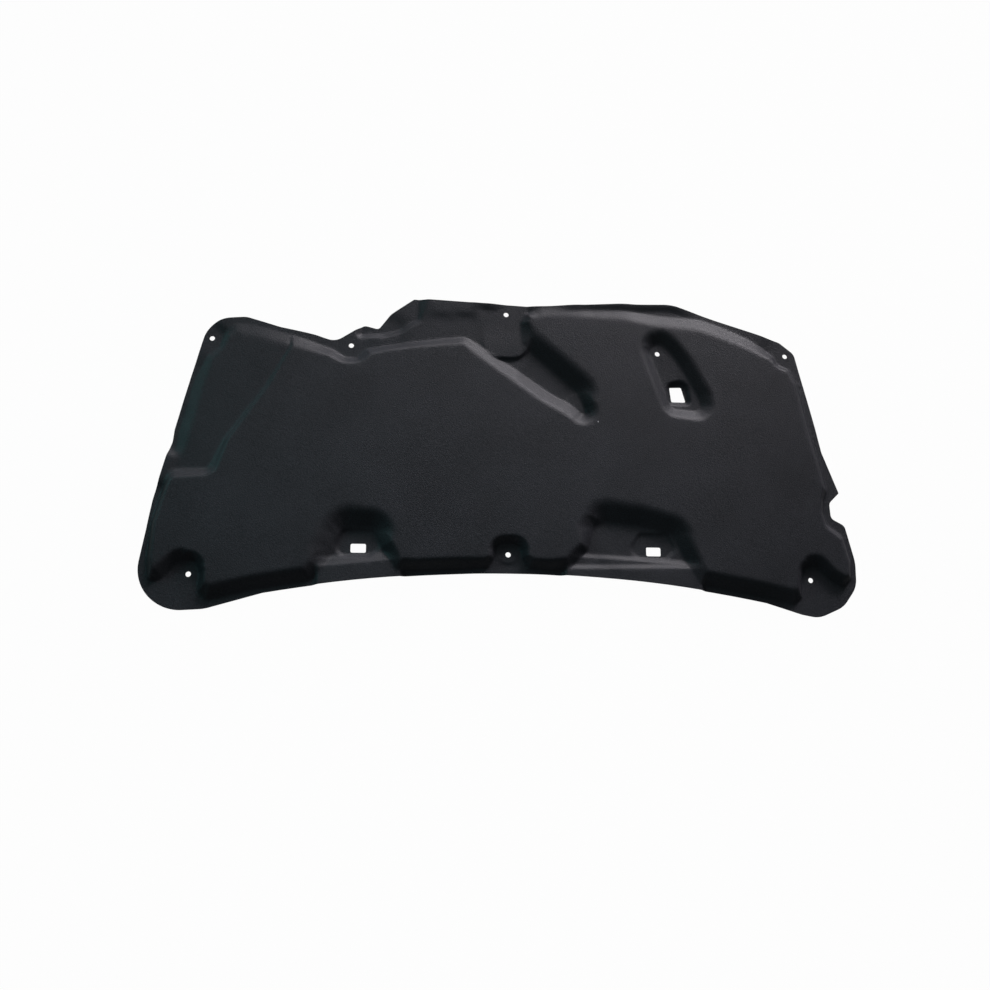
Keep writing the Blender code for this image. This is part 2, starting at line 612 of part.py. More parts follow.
def triangulate():
    """Flat triangulation of the sheet between its outline and its holes."""
    loops = [divided(OUTLINE, EDGE_STEP)] + hole_loops()
    edge_points = np.concatenate(loops)
    constraints = []
    first = 0
    for loop in loops:
        count = len(loop)
        constraints += [(first + k, first + (k + 1) % count) for k in range(count)]
        first += count
    places = np.concatenate([edge_points, inner_points(edge_points)])
    flat = delaunay_2d_cdt([tuple(p) for p in places], constraints, [], 0, 1e-7, False)
    places = np.array([(v[0], v[1]) for v in flat[0]])
    faces = np.array(flat[2])
    middles = places[faces].mean(axis=1)
    felt = inside(middles, closed(loops[0]))
    for loop in loops[1:]:
        felt &= ~inside(middles, closed(loop))
    return places, faces[felt]


def felt_material():
    material = bpy.data.materials.new("black_felt")
    material.use_nodes = True
    shader = material.node_tree.nodes["Principled BSDF"]
    shader.inputs["Base Color"].default_value = (0.021, 0.022, 0.024, 1.0)
    shader.inputs["Roughness"].default_value = 0.95
    shader.inputs["Metallic"].default_value = 0.0
    return material


def build_pad(collection):
    """The upper face from the flat triangulation, thickened downwards by the sheet's thickness."""
    places, faces = triangulate()
    heights, thicknesses = surface(places)
    places = places - OUTLINE_MIDDLE
    shape = bmesh.new()
    thickness_layer = shape.verts.layers.float.new("thickness")
    upper = []
    for (x, y), z, thickness in zip(places, heights, thicknesses):
        vert = shape.verts.new((x, y, z))
        vert[thickness_layer] = thickness
        upper.append(vert)
    for face in faces:
        shape.faces.new([upper[i] for i in face])
    thickened = bmesh.ops.extrude_face_region(shape, geom=shape.faces[:], use_keep_orig=True)
    for item in thickened["geom"]:
        if isinstance(item, bmesh.types.BMVert):
            item.co.z -= item[thickness_layer]
    bmesh.ops.recalc_face_normals(shape, faces=shape.faces[:])
    mesh = bpy.data.meshes.new(NODE)
    shape.to_mesh(mesh)
    shape.free()
    mesh.shade_smooth()
    mesh.set_sharp_from_angle(angle=math.radians(50))
    mesh.materials.append(felt_material())
    pad = bpy.data.objects.new(NODE, mesh)
    collection.objects.link(pad)
    return pad


def main():
    for obj in list(bpy.data.objects):
        bpy.data.objects.remove(obj, do_unlink=True)
    collection = bpy.data.collections.new("hood_insulation")
    bpy.context.scene.collection.children.link(collection)
    build_pad(collection)


main()
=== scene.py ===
"""Looks of the moulded felt bonnet pad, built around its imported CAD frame.

The pad lies engine side up on a white floor, seen from above its rear edge. The felt is one piece,
made from the same pressed form as the CAD solid but with a much finer surface.
"""
import math

import bmesh
import bpy
import numpy as np
from mathutils import Matrix, Vector
from mathutils.geometry import delaunay_2d_cdt
from mathutils.kdtree import KDTree


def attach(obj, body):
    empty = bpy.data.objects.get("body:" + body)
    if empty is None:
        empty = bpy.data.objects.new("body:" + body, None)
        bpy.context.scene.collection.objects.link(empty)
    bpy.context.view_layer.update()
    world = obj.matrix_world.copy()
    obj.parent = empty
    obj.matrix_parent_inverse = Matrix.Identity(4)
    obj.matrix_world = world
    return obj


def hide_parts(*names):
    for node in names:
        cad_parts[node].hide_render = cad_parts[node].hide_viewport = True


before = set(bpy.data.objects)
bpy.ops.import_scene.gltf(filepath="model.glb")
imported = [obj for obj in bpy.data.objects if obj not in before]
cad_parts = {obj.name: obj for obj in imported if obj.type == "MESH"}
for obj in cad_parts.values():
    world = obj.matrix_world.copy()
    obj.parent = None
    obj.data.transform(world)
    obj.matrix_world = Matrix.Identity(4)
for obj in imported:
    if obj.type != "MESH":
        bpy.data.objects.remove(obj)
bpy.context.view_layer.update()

NODE = "hood_insulation_pad"

# Sheet
BODY_THICKNESS = 0.010
RIM_THICKNESS = 0.003
BODY_HEIGHT = 0.027
CROWN_SPAN_X = 0.620
CROWN_DROP_X = 0.004
CROWN_SPAN_Y = 0.240
CROWN_DROP_Y = 0.003
CROWN_Y = 0.020

# Share of a wall's run that its foot and its crest round over
FOOT_ROUND = 0.15
CREST_ROUND = 0.40

# Holes for the push clips, and the flat pressed land round each
CLIP_HOLE_DIAMETER = 0.010
CLIP_LAND_RADIUS = 0.013
LAND_WALL_RUN = 0.008
REAR_CLIP_X = 0.574
REAR_CLIP_Y = -0.241
REAR_MID_CLIP_Y = -0.200
FRONT_CLIP_X = 0.5555
FRONT_CLIP_Y = 0.207
INNER_CLIP_X = 0.296
INNER_CLIP_Y = 0.201
FRONT_MID_CLIP_Y = 0.272

# Openings for the washer hoses and for the bonnet prop
HOSE_X = 0.274
HOSE_Y = -0.190
HOSE_HOLE_WIDTH = 0.028
HOSE_HOLE_DEPTH = 0.017
HOSE_HOLE_ROUND = 0.003
PROP_X = 0.333
PROP_Y = 0.120

# Crease where the left shelf meets the body
SHELF_CREASE_FRONT = (-0.403, 0.190)
SHELF_CREASE_REAR = (-0.545, -0.050)

# Front edge, and the rear edge, a long arc
FRONT_EDGE_Y = 0.307
REAR_EDGE_Y = -0.2345
REAR_ARC_RADIUS = 2.457
REAR_ARC_MIDDLE_X = -0.007
REAR_RIM = 0.006

# Levels of the upper face above the resting plane
LAND_LEVEL = RIM_THICKNESS
REAR_MID_LAND_LEVEL = 0.009
FRONT_LEFT_LAND_LEVEL = 0.008
INNER_LAND_LEVEL = 0.008
FRONT_MID_LAND_LEVEL = 0.013
TONGUE_RISE = 0.0015
POCKET_LEVEL = 0.011
HOSE_SEAT_DROP = 0.003
PROP_SEAT_DROP = 0.007
SILL_HEIGHT = 0.0045
SHELF_STEP_FRONT = 0.003
SHELF_STEP_REAR = 0.011
SHELF_TILT = 0.030
SHELF_GROOVE = 0.002
SHELF_STEP_END = 1.1
FRONT_CURL = 0.0035
FRONT_CURL_WIDTH = 0.016
FRONT_LEDGE_DROP = 0.007

REAR_LEFT_CLIP = (-REAR_CLIP_X, REAR_CLIP_Y)
REAR_RIGHT_CLIP = (REAR_CLIP_X, REAR_CLIP_Y)
REAR_MID_CLIP = (0.0, REAR_MID_CLIP_Y)
FRONT_LEFT_CLIP = (-FRONT_CLIP_X, FRONT_CLIP_Y)
FRONT_RIGHT_CLIP = (FRONT_CLIP_X, FRONT_CLIP_Y)
INNER_LEFT_CLIP = (-INNER_CLIP_X, INNER_CLIP_Y)
INNER_RIGHT_CLIP = (INNER_CLIP_X, INNER_CLIP_Y)
FRONT_MID_CLIP = (0.0, FRONT_MID_CLIP_Y)
HOSE_LEFT = (-HOSE_X, HOSE_Y)
HOSE_RIGHT = (HOSE_X, HOSE_Y)
PROP = (PROP_X, PROP_Y)


def near(place, corners):
    """Corners given as offsets from a place: (dx, dy, round) or (dx, dy, round, run)."""
    return [(place[0] + c[0], place[1] + c[1]) + tuple(c[2:]) for c in corners]


def rear_edge_y(x):
    across = x - REAR_ARC_MIDDLE_X
    return REAR_EDGE_Y - REAR_ARC_RADIUS + math.sqrt(REAR_ARC_RADIUS ** 2 - across ** 2)


def rear_wall(xs, run):
    """Foot of a rear wall: parallel to the rear edge, one rim width inside it."""
    return [(x, rear_edge_y(x) + REAR_RIM, 0.0, run) for x in xs]


def outline_corners():
    """The cut edge of the pad, counter-clockwise from the rear left corner."""
    rear_arc = [(x, rear_edge_y(x), 0.0) for x in np.linspace(-0.443, 0.486, 30)]
    return (
        near(REAR_LEFT_CLIP, [(-0.102, -0.070, 0.076), (0.030, -0.062, 0.090)])
        + rear_arc
        + near(REAR_RIGHT_CLIP, [
            (-0.020, -0.065, 0.060), (0.012, -0.071, 0.045), (0.060, -0.050, 0.050),
            (0.088, -0.012, 0.050), (0.0895, 0.035, 0.090), (0.074, 0.106, 0.014), (0.0485, 0.120, 0.012),
            (0.0475, 0.150, 0.012), (0.068, 0.170, 0.002),
        ])
        + [(0.614, 0.010, 0.060), (0.605, 0.060, 0.060)]
        + near(FRONT_RIGHT_CLIP, [(0.018, 0.005, 0.020), (-0.010, 0.028, 0.020), (-0.031, 0.035, 0.040)])
        + near((0.0, FRONT_EDGE_Y), [
            (0.326, -0.0035, 0.090), (0.223, -0.007, 0.150), (0.066, -0.018, 0.400),
            (-0.143, -0.0095, 0.080), (-0.178, -0.0070, 0.003), (-0.223, -0.040, 0.030),
            (-0.245, -0.070, 0.008),
        ])
        + near(INNER_LEFT_CLIP, [(0.024, 0.043, 0.012), (-0.030, 0.007, 0.030)])
        + [(-0.363, 0.219, 0.060), (-0.430, 0.232, 0.080)]
        + near(FRONT_LEFT_CLIP, [(0.062, 0.044, 0.040), (-0.006, 0.038, 0.056), (-0.034, -0.075, 0.060)])
        + [(-0.614, 0.027, 0.040), (-0.616, 0.004, 0.020), (-0.624, -0.022, 0.040), (-0.644, -0.106, 0.060)]
    )


def body_corners():
    """Foot of the walls round the raised body, with the run of the wall at each corner.

    The foot turns in for the rear pockets, the clip lands and the valley that opens at the front.
    """
    return (
        near(REAR_LEFT_CLIP, [
            (-0.076, 0.026, 0.030, 0.014), (-0.073, -0.018, 0.012, 0.018), (-0.044, -0.012, 0.015, 0.030),
            (-0.018, 0.020, 0.014, 0.026), (0.008, 0.024, 0.014, 0.020), (0.018, 0.003, 0.010, 0.016),
            (0.016, -0.030, 0.010, 0.018), (0.030, -0.052, 0.012, 0.034),
        ])
        + rear_wall((-0.460, -0.400, -0.358), 0.031)
        + near(HOSE_LEFT, [
            (-0.062, -0.044, 0.010, 0.036), (-0.036, -0.006, 0.030, 0.056), (-0.028, 0.014, 0.020, 0.056),
            (-0.024, 0.032, 0.012, 0.050), (0.026, 0.036, 0.012, 0.042), (0.040, 0.000, 0.015, 0.028),
            (0.066, -0.041, 0.012, 0.024),
        ])
        + rear_wall((-0.170, -0.090), 0.025)
        + near(REAR_MID_CLIP, [
            (-0.036, -0.027, 0.006, 0.022), (-0.025, -0.008, 0.010, 0.013), (-0.019, 0.019, 0.014, 0.017),
            (0.019, 0.019, 0.014, 0.018), (0.025, -0.008, 0.010, 0.014), (0.036, -0.027, 0.006, 0.022),
        ])
        + rear_wall((0.080,), 0.023)
        + near(HOSE_RIGHT, [
            (-0.160, -0.037, 0.012, 0.025), (-0.122, 0.000, 0.020, 0.025), (-0.108, 0.044, 0.008, 0.040),
            (-0.090, 0.049, 0.008, 0.053), (-0.034, 0.045, 0.100, 0.047), (0.032, 0.030, 0.012, 0.044),
            (0.050, -0.004, 0.015, 0.034), (0.068, -0.040, 0.008, 0.030), (0.080, -0.062, 0.008, 0.031),
        ])
        + rear_wall((0.400, 0.460), 0.033)
        + near(REAR_RIGHT_CLIP, [
            (-0.036, -0.050, 0.010, 0.034), (-0.018, -0.034, 0.010, 0.018), (-0.016, -0.005, 0.010, 0.017),
            (-0.011, 0.021, 0.012, 0.020), (0.008, 0.025, 0.012, 0.026), (0.031, 0.001, 0.015, 0.025),
            (0.062, -0.016, 0.010, 0.022), (0.080, 0.002, 0.012, 0.014), (0.082, 0.035, 0.030, 0.015),
            (0.071, 0.084, 0.015, 0.016), (0.040, 0.107, 0.012, 0.014), (0.035, 0.129, 0.012, 0.014),
            (0.037, 0.153, 0.012, 0.014), (0.046, 0.173, 0.008, 0.016),
        ])
        + [(0.609, -0.009, 0.040, 0.019), (0.595, 0.045, 0.040, 0.017)]
        + near(FRONT_RIGHT_CLIP, [
            (0.021, -0.060, 0.015, 0.017), (0.006, -0.027, 0.012, 0.018), (-0.017, -0.018, 0.010, 0.018),
            (-0.024, 0.000, 0.008, 0.024), (-0.042, 0.014, 0.020, 0.030),
        ])
        + [
            (0.480, 0.242, 0.060, 0.035), (0.425, 0.266, 0.100, 0.038), (0.385, 0.279, 0.080, 0.038),
            (0.305, 0.282, 0.200, 0.035), (0.225, 0.291, 0.200, 0.031), (0.106, 0.291, 0.200, 0.027),
        ]
        + near(FRONT_MID_CLIP, [
            (0.062, 0.015, 0.030, 0.026), (0.036, 0.004, 0.012, 0.016), (0.025, -0.014, 0.010, 0.022),
            (0.026, -0.060, 0.010, 0.045),
        ])
        + [
            (0.080, 0.164, 0.080, 0.045), (0.1325, 0.117, 0.012, 0.045), (0.148, 0.086, 0.0, 0.024),
            (0.153, 0.058, 0.003, 0.022), (0.143, 0.079, 0.010, 0.034), (0.124, 0.096, 0.060, 0.037),
            (0.084, 0.118, 0.200, 0.037), (0.020, 0.163, 0.200, 0.036), (-0.051, 0.209, 0.040, 0.030),
            (-0.080, 0.226, 0.030, 0.024), (-0.166, 0.213, 0.060, 0.020),
        ]
        + near(INNER_LEFT_CLIP, [
            (0.064, 0.001, 0.030, 0.019), (0.028, -0.005, 0.012, 0.023), (0.011, -0.024, 0.012, 0.021),
            (-0.011, -0.023, 0.012, 0.022), (-0.031, -0.009, 0.020, 0.025),
        ])
        + [(-0.392, 0.2155, 0.080, 0.033), (-0.478, 0.238, 0.060, 0.033)]
        + near(FRONT_LEFT_CLIP, [
            (0.036, 0.034, 0.015, 0.026), (0.021, 0.008, 0.010, 0.016), (0.014, -0.017, 0.012, 0.012),
            (-0.007, -0.032, 0.020, 0.018), (-0.028, -0.075, 0.040, 0.027),
        ])
        + [(-0.608, 0.027, 0.040, 0.029), (-0.612, -0.002, 0.030, 0.028), (-0.620, -0.045, 0.030, 0.022),
           (-0.630, -0.088, 0.040, 0.013), (-0.645, -0.150, 0.060, 0.012)]
    )


def shelf_corners():
    """Foot of the step down to the shelf in the front left of the body."""
    return near(SHELF_CREASE_FRONT, [(-0.011, 0.004, 0.0, 0.011), (-0.053, -0.074, 0.0, 0.014)]) + near(
        SHELF_CREASE_REAR, [
            (0.019, 0.060, 0.0, 0.015), (-0.006, 0.007, 0.010, 0.024), (-0.071, 0.006, 0.020, 0.029),
            (-0.160, 0.020, 0.0, 0.031), (-0.160, 0.370, 0.0, 0.020), (0.131, 0.370, 0.0, 0.009),
        ])


def prop_pocket_corners():
    """Floor of the deep pocket round the inner right clip and the prop opening."""
    return near(INNER_RIGHT_CLIP, [
        (-0.014, 0.006, 0.010, 0.026), (-0.006, 0.018, 0.010, 0.030), (0.007, 0.018, 0.012, 0.032),
        (0.022, 0.005, 0.015, 0.030), (0.042, -0.026, 0.080, 0.032), (0.074, -0.088, 0.040, 0.032),
        (0.082, -0.114, 0.010, 0.030), (0.025, -0.110, 0.012, 0.028), (-0.005, -0.025, 0.080, 0.026),
    ])


def hose_seat_corners(place, side):
    """Seat pressed into a rear pocket floor round a hose opening."""
    corners = [
        (-0.028 * side, -0.010, 0.010, 0.010), (0.019 * side, -0.011, 0.008, 0.010),
        (0.036 * side, 0.004, 0.010, 0.010), (0.026 * side, 0.030, 0.010, 0.008),
        (-0.026 * side, 0.030, 0.010, 0.008), (-0.038 * side, 0.004, 0.010, 0.012),
    ]
    return near(place, corners)


def sill_corners(place, left, front_left, right, front_right):
    """Raised sill of the rim behind a rear pocket, between the pocket floor and the rear edge."""
    return near(place, [
        (left, front_left, 0.0, 0.013), (right, front_right, 0.0, 0.013),
        (right, -0.120, 0.0, 0.013), (left, -0.120, 0.0, 0.013),
    ])


def prop_seat_corners():
    return near(PROP, [
        (-0.014, -0.017, 0.004, 0.008), (0.019, -0.017, 0.004, 0.009), (0.013, 0.019, 0.011, 0.012),
        (-0.016, 0.017, 0.011, 0.010),
    ])


def prop_hole_corners():
    return near(PROP, [
        (-0.012, -0.015, 0.003), (0.017, -0.015, 0.003), (0.009, 0.016, 0.003), (-0.015, 0.015, 0.003),
    ])


def tongue_corners():
    """Half-round land that runs in from the front edge at the middle clip."""
    return near(FRONT_MID_CLIP, [
        (-0.042, -0.068, 0.020, 0.012), (-0.022, -0.087, 0.020, 0.007), (0.024, -0.087, 0.020, 0.007),
        (0.040, -0.066, 0.020, 0.010), (0.040, 0.080, 0.0, 0.010), (-0.042, 0.080, 0.0, 0.030),
    ])


def front_ledge_corners():
    """Foot of the ledge between the front flange and the lower rim left of it."""
    return near(INNER_LEFT_CLIP, [
        (0.020, 0.027, 0.0, 0.016), (0.060, 0.028, 0.020, 0.014), (0.092, 0.038, 0.020, 0.014),
        (0.125, 0.060, 0.010, 0.014), (0.126, 0.120, 0.0, 0.034), (0.020, 0.120, 0.0, 0.010),
    ])


def hose_hole_corners(place):
    across = HOSE_HOLE_WIDTH / 2
    along = HOSE_HOLE_DEPTH / 2
    r = HOSE_HOLE_ROUND
    return near(place, [(-across, -along, r), (across, -along, r), (across, along, r), (-across, along, r)])


# Level of the pressed rim and of the valley floor, at places where it is known
RIM_LEVELS = (
    [(clip[0], clip[1], LAND_LEVEL) for clip in (REAR_LEFT_CLIP, REAR_RIGHT_CLIP, FRONT_RIGHT_CLIP)]
    + [
        (*REAR_MID_CLIP, REAR_MID_LAND_LEVEL), (*FRONT_LEFT_CLIP, FRONT_LEFT_LAND_LEVEL),
        (*INNER_LEFT_CLIP, INNER_LAND_LEVEL), (*FRONT_MID_CLIP, FRONT_MID_LAND_LEVEL),
        (0.000, -0.228, 0.007),
        (-0.450, -0.280, 0.003), (-0.150, -0.238, 0.004), (0.150, -0.238, 0.004), (0.450, -0.280, 0.003),
        (-0.274, -0.190, 0.006), (0.274, -0.190, 0.006), (0.200, -0.170, 0.006),
        (0.640, -0.150, 0.004), (0.620, -0.080, 0.004), (0.600, 0.060, 0.004),
        (0.470, 0.255, 0.008), (0.300, 0.300, 0.012), (0.190, 0.300, 0.017), (0.100, 0.298, 0.0195),
        (-0.080, 0.245, 0.0125), (-0.080, 0.292, 0.0155),
        (-0.125, 0.240, 0.0125), (-0.125, 0.292, 0.0155), (-0.160, 0.225, 0.0125),
        (-0.050, 0.212, 0.013), (0.000, 0.165, 0.010), (0.060, 0.150, 0.007),
        (0.105, 0.125, 0.007), (0.140, 0.095, 0.009),
        (-0.230, 0.235, 0.010), (-0.190, 0.285, 0.013), (-0.430, 0.230, 0.013), (-0.520, 0.245, 0.012),
        (-0.590, 0.120, 0.006), (-0.612, 0.010, 0.004), (-0.622, -0.045, 0.012), (-0.640, -0.110, 0.006),
        (-0.655, -0.190, 0.004),
    ]
)
LEVEL_FALL_OFF = 4
# Share of an edge that its two roundings may take, and the largest turn of one piece of an arc
ROUNDED_SHARE = 0.98
LARGEST_TURN = 0.5


def rounding_cuts(corners):
    """How far each corner's rounding reaches along its two edges, shortened where they meet."""
    places = np.array([c[:2] for c in corners])
    back = np.roll(places, 1, axis=0) - places
    ahead = np.roll(places, -1, axis=0) - places
    lengths = np.hypot(ahead[:, 0], ahead[:, 1])
    cosines = (back * ahead).sum(axis=1) / (lengths * np.roll(lengths, 1))
    half_angles = np.arccos(np.clip(cosines, -1.0, 1.0)) / 2
    cuts = np.array([c[2] for c in corners]) / np.tan(half_angles)
    fit = np.minimum(1.0, ROUNDED_SHARE * lengths / np.maximum(cuts + np.roll(cuts, -1), 1e-9))
    return cuts * np.minimum(fit, np.roll(fit, 1)), half_angles


def rounded(corners, step=0.012):
    """Closed outline through the corners, each rounded to its radius, as x, y, run rows."""
    rows = []
    cuts, half_angles = rounding_cuts(corners)
    for i, corner in enumerate(corners):
        here = np.array(corner[:2])
        run = corner[3] if len(corner) > 3 else 0.0
        if cuts[i] < 1e-5 or half_angles[i] > math.radians(89.5):
            rows.append((here[0], here[1], run))
            continue
        back = np.array(corners[i - 1][:2]) - here
        ahead = np.array(corners[(i + 1) % len(corners)][:2]) - here
        back, ahead = back / np.hypot(*back), ahead / np.hypot(*ahead)
        radius = cuts[i] * math.tan(half_angles[i])
        middle = (back + ahead) / np.hypot(*(back + ahead))
        centre = here + middle * radius / math.sin(half_angles[i])
        start, end = here + back * cuts[i] - centre, here + ahead * cuts[i] - centre
        first = math.atan2(start[1], start[0])
        turn = (math.atan2(end[1], end[0]) - first + math.pi) % (2 * math.pi) - math.pi
        pieces = max(2, math.ceil(abs(turn) * radius / step), math.ceil(abs(turn) / LARGEST_TURN))
        for k in range(pieces + 1):
            angle = first + turn * k / pieces
            rows.append((centre[0] + radius * math.cos(angle), centre[1] + radius * math.sin(angle), run))
    return np.array(rows)


def edge_distances(points, loop):
    """Yield, for each edge of a closed outline, the points' distance to it and the run there."""
    ends = np.roll(loop, -1, axis=0)
    for (ax, ay, arun), (bx, by, brun) in zip(loop, ends):
        ex, ey = bx - ax, by - ay
        length2 = ex * ex + ey * ey
        if length2 < 1e-14:
            continue
        along = np.clip(((points[:, 0] - ax) * ex + (points[:, 1] - ay) * ey) / length2, 0.0, 1.0)
        distance = np.hypot(points[:, 0] - ax - along * ex, points[:, 1] - ay - along * ey)
        yield distance, arun + (brun - arun) * along


def inside(points, loop):
    """True where a point lies inside a closed outline."""
    result = np.zeros(len(points), bool)
    ends = np.roll(loop, -1, axis=0)
    for (ax, ay, _), (bx, by, _) in zip(loop, ends):
        if ay == by:
            continue
        spans = (ay > points[:, 1]) != (by > points[:, 1])
        crossing = ax + (points[:, 1] - ay) / (by - ay) * (bx - ax)
        result ^= spans & (points[:, 0] < crossing)
    return result


def reach(points, loop):
    """Distance to an outline as a share of the wall's run there."""
    best = np.full(len(points), np.inf)
    for distance, run in edge_distances(points, loop):
        best = np.minimum(best, distance / np.maximum(run, 1e-6))
    return best


def ease(share):
    """S-shaped rise from 0 to 1."""
    share = np.clip(share, 0.0, 1.0)
    return share * share * (3.0 - 2.0 * share)


def wall_rise(share):
    """Rise from 0 at a wall's foot to 1 at its crest: straight, with both ends rounded."""
    share = np.clip(share, 0.0, 1.0)
    slope = 1.0 / (1.0 - (FOOT_ROUND + CREST_ROUND) / 2)
    foot = slope * share ** 2 / (2 * FOOT_ROUND)
    straight = slope * (share - FOOT_ROUND / 2)
    crest = 1.0 - slope * (1.0 - share) ** 2 / (2 * CREST_ROUND)
    return np.where(share < FOOT_ROUND, foot, np.where(share > 1.0 - CREST_ROUND, crest, straight))


def risen(points, loop):
    """0 outside an outline, rising to 1 over the run of its wall inside."""
    return np.where(inside(points, loop), wall_rise(reach(points, loop)), 0.0)


def pressed(points, loop):
    """1 inside an outline, falling to 0 over the run of its wall outside."""
    return np.where(inside(points, loop), 1.0, 1.0 - wall_rise(reach(points, loop)))


def disc_pressed(points, centre, radius, run):
    distance = np.hypot(points[:, 0] - centre[0], points[:, 1] - centre[1])
    return 1.0 - ease((distance - radius) / run)


def rim_level(points):
    """Smooth level through the known rim levels."""
    total = np.zeros(len(points))
    weight_sum = np.zeros(len(points))
    for x, y, level in RIM_LEVELS:
        distance2 = (points[:, 0] - x) ** 2 + (points[:, 1] - y) ** 2 + 1e-7
        weight = distance2 ** (-LEVEL_FALL_OFF / 2)
        total += weight * level
        weight_sum += weight
    return total / weight_sum


def crown(points):
    across = points[:, 0] / CROWN_SPAN_X
    along = (points[:, 1] - CROWN_Y) / CROWN_SPAN_Y
    return BODY_HEIGHT - CROWN_DROP_X * across ** 2 - CROWN_DROP_Y * along ** 2


def shelf_step(points):
    """Depth of the shelf under the crown: grows along its crease, and away from it."""
    front, rear = np.array(SHELF_CREASE_FRONT), np.array(SHELF_CREASE_REAR)
    length = np.hypot(*(rear - front))
    ahead = (rear - front) / length
    along = np.clip((points - front) @ ahead / length, 0.0, SHELF_STEP_END)
    away = np.maximum(0.0, (points - front) @ np.array([ahead[1], -ahead[0]]))
    return SHELF_STEP_FRONT + (SHELF_STEP_REAR - SHELF_STEP_FRONT) * along + SHELF_TILT * away


OUTLINE = rounded(outline_corners())
OUTLINE_MIDDLE = (OUTLINE.min(axis=0) + OUTLINE.max(axis=0))[:2] / 2
BODY = rounded(body_corners())
SHELF = rounded(shelf_corners())
PROP_POCKET = rounded(prop_pocket_corners())
PROP_SEAT = rounded(prop_seat_corners())
TONGUE = rounded(tongue_corners())
FRONT_LEDGE = rounded(front_ledge_corners())
# Where the tongue starts to rise towards its end
TONGUE_RISE_START = 0.250
TONGUE_RISE_RUN = 0.050
# Middle, half length and fade of the two stretches of the front edge that curl up
FRONT_CURLS = ((0.235, 0.155, 0.060), (-0.035, 0.040, 0.040))
HOSE_SEATS = [rounded(hose_seat_corners(HOSE_LEFT, 1)), rounded(hose_seat_corners(HOSE_RIGHT, 1))]
SILLS = [rounded(sill_corners(place, *fronts)) for place, fronts in (
    (HOSE_LEFT, (-0.070, -0.027, 0.075, -0.014)), (HOSE_LEFT, (-0.070, -0.038, 0.075, -0.022)),
    (HOSE_RIGHT, (-0.165, -0.013, 0.085, -0.028)), (HOSE_RIGHT, (-0.165, -0.037, 0.085, -0.034)),
)]
LANDS = (
    (REAR_LEFT_CLIP, LAND_LEVEL), (REAR_RIGHT_CLIP, LAND_LEVEL), (REAR_MID_CLIP, REAR_MID_LAND_LEVEL),
    (FRONT_LEFT_CLIP, FRONT_LEFT_LAND_LEVEL), (FRONT_RIGHT_CLIP, LAND_LEVEL),
    (INNER_LEFT_CLIP, INNER_LAND_LEVEL), (INNER_RIGHT_CLIP, POCKET_LEVEL),
    (FRONT_MID_CLIP, FRONT_MID_LAND_LEVEL),
)


def surface(points):
    """Height of the upper face and thickness of the sheet under it, at each point."""
    floor = rim_level(points)
    for sill in SILLS:
        floor = floor + SILL_HEIGHT * pressed(points, sill)
    tongue_rise = TONGUE_RISE * ease((TONGUE_RISE_START - points[:, 1]) / TONGUE_RISE_RUN)
    tongue_level = FRONT_MID_LAND_LEVEL + tongue_rise
    floor = floor + (tongue_level - floor) * pressed(points, TONGUE)
    floor = floor - FRONT_LEDGE_DROP * pressed(points, FRONT_LEDGE)
    edge = np.full(len(points), np.inf)
    for distance, _ in edge_distances(points, OUTLINE):
        edge = np.minimum(edge, distance)
    curled = sum(ease((half - np.abs(points[:, 0] - middle)) / fade) for middle, half, fade in FRONT_CURLS)
    curled *= points[:, 1] > INNER_CLIP_Y
    floor = floor + FRONT_CURL * curled * ease(1.0 - edge / FRONT_CURL_WIDTH)
    for seat in HOSE_SEATS:
        floor = floor - HOSE_SEAT_DROP * pressed(points, seat)

    sunk = pressed(points, SHELF)
    top = crown(points) - shelf_step(points) * sunk - 4.0 * SHELF_GROOVE * sunk * (1.0 - sunk)
    loft = risen(points, BODY)
    height = floor + (top - floor) * loft

    pocket = pressed(points, PROP_POCKET)
    pocket_floor = POCKET_LEVEL - PROP_SEAT_DROP * pressed(points, PROP_SEAT)
    height = height + (pocket_floor - height) * pocket
    loft = loft * (1.0 - pocket)

    for clip, level in LANDS:
        land = disc_pressed(points, clip, CLIP_LAND_RADIUS, LAND_WALL_RUN)
        height = height + (level - height) * land
        loft = loft * (1.0 - land)
    thickness = RIM_THICKNESS + (BODY_THICKNESS - RIM_THICKNESS) * loft
    return height, np.minimum(thickness, height)


# Visible mesh: its point spacing on walls, on flat felt and round the holes
FINE_STEP = 0.0028
FLAT_STEP = 0.0070
HOLE_STEP = 0.002
HOLE_SIDES = 40
# The felt counts as flat below this bend in metres, to which a slope adds this share of its rise
LEAST_BEND = 0.00008
SLOPE_WEIGHT = 0.12
# Least distance of an inner point from an edge, as a share of the fine spacing
EDGE_CLEARANCE = 0.55
SAME_POINT = 1e-7
SHARP_ANGLE = math.radians(60)

# Felt: its darkest and lightest shades, its range of roughness, and its grain and mottling
FELT_DARK = (0.0088, 0.0092, 0.0110)
FELT_LIGHT = (0.0255, 0.0264, 0.0312)
FELT_SMOOTH = 0.42
FELT_ROUGH = 0.62
FELT_SPECULAR = 0.20
FELT_BUMP = 0.60
FIBRE_HEIGHT = 0.001
GRAIN_SCALE = 420.0
MOTTLE_SCALE = 9.0
GRAIN_SHARE = 0.65
MOTTLE_SHARE = 0.35
# Noise levels at which the shades and the roughness reach their ends
SHADE_ENDS = (0.3, 0.72)
GLOSS_ENDS = (0.35, 0.65)
# A speck of dust beside the end of the valley
SPECK = (0.1719, 0.0550)
SPECK_RADIUS = 0.0013
DUST_COLOUR = (0.35, 0.35, 0.36)

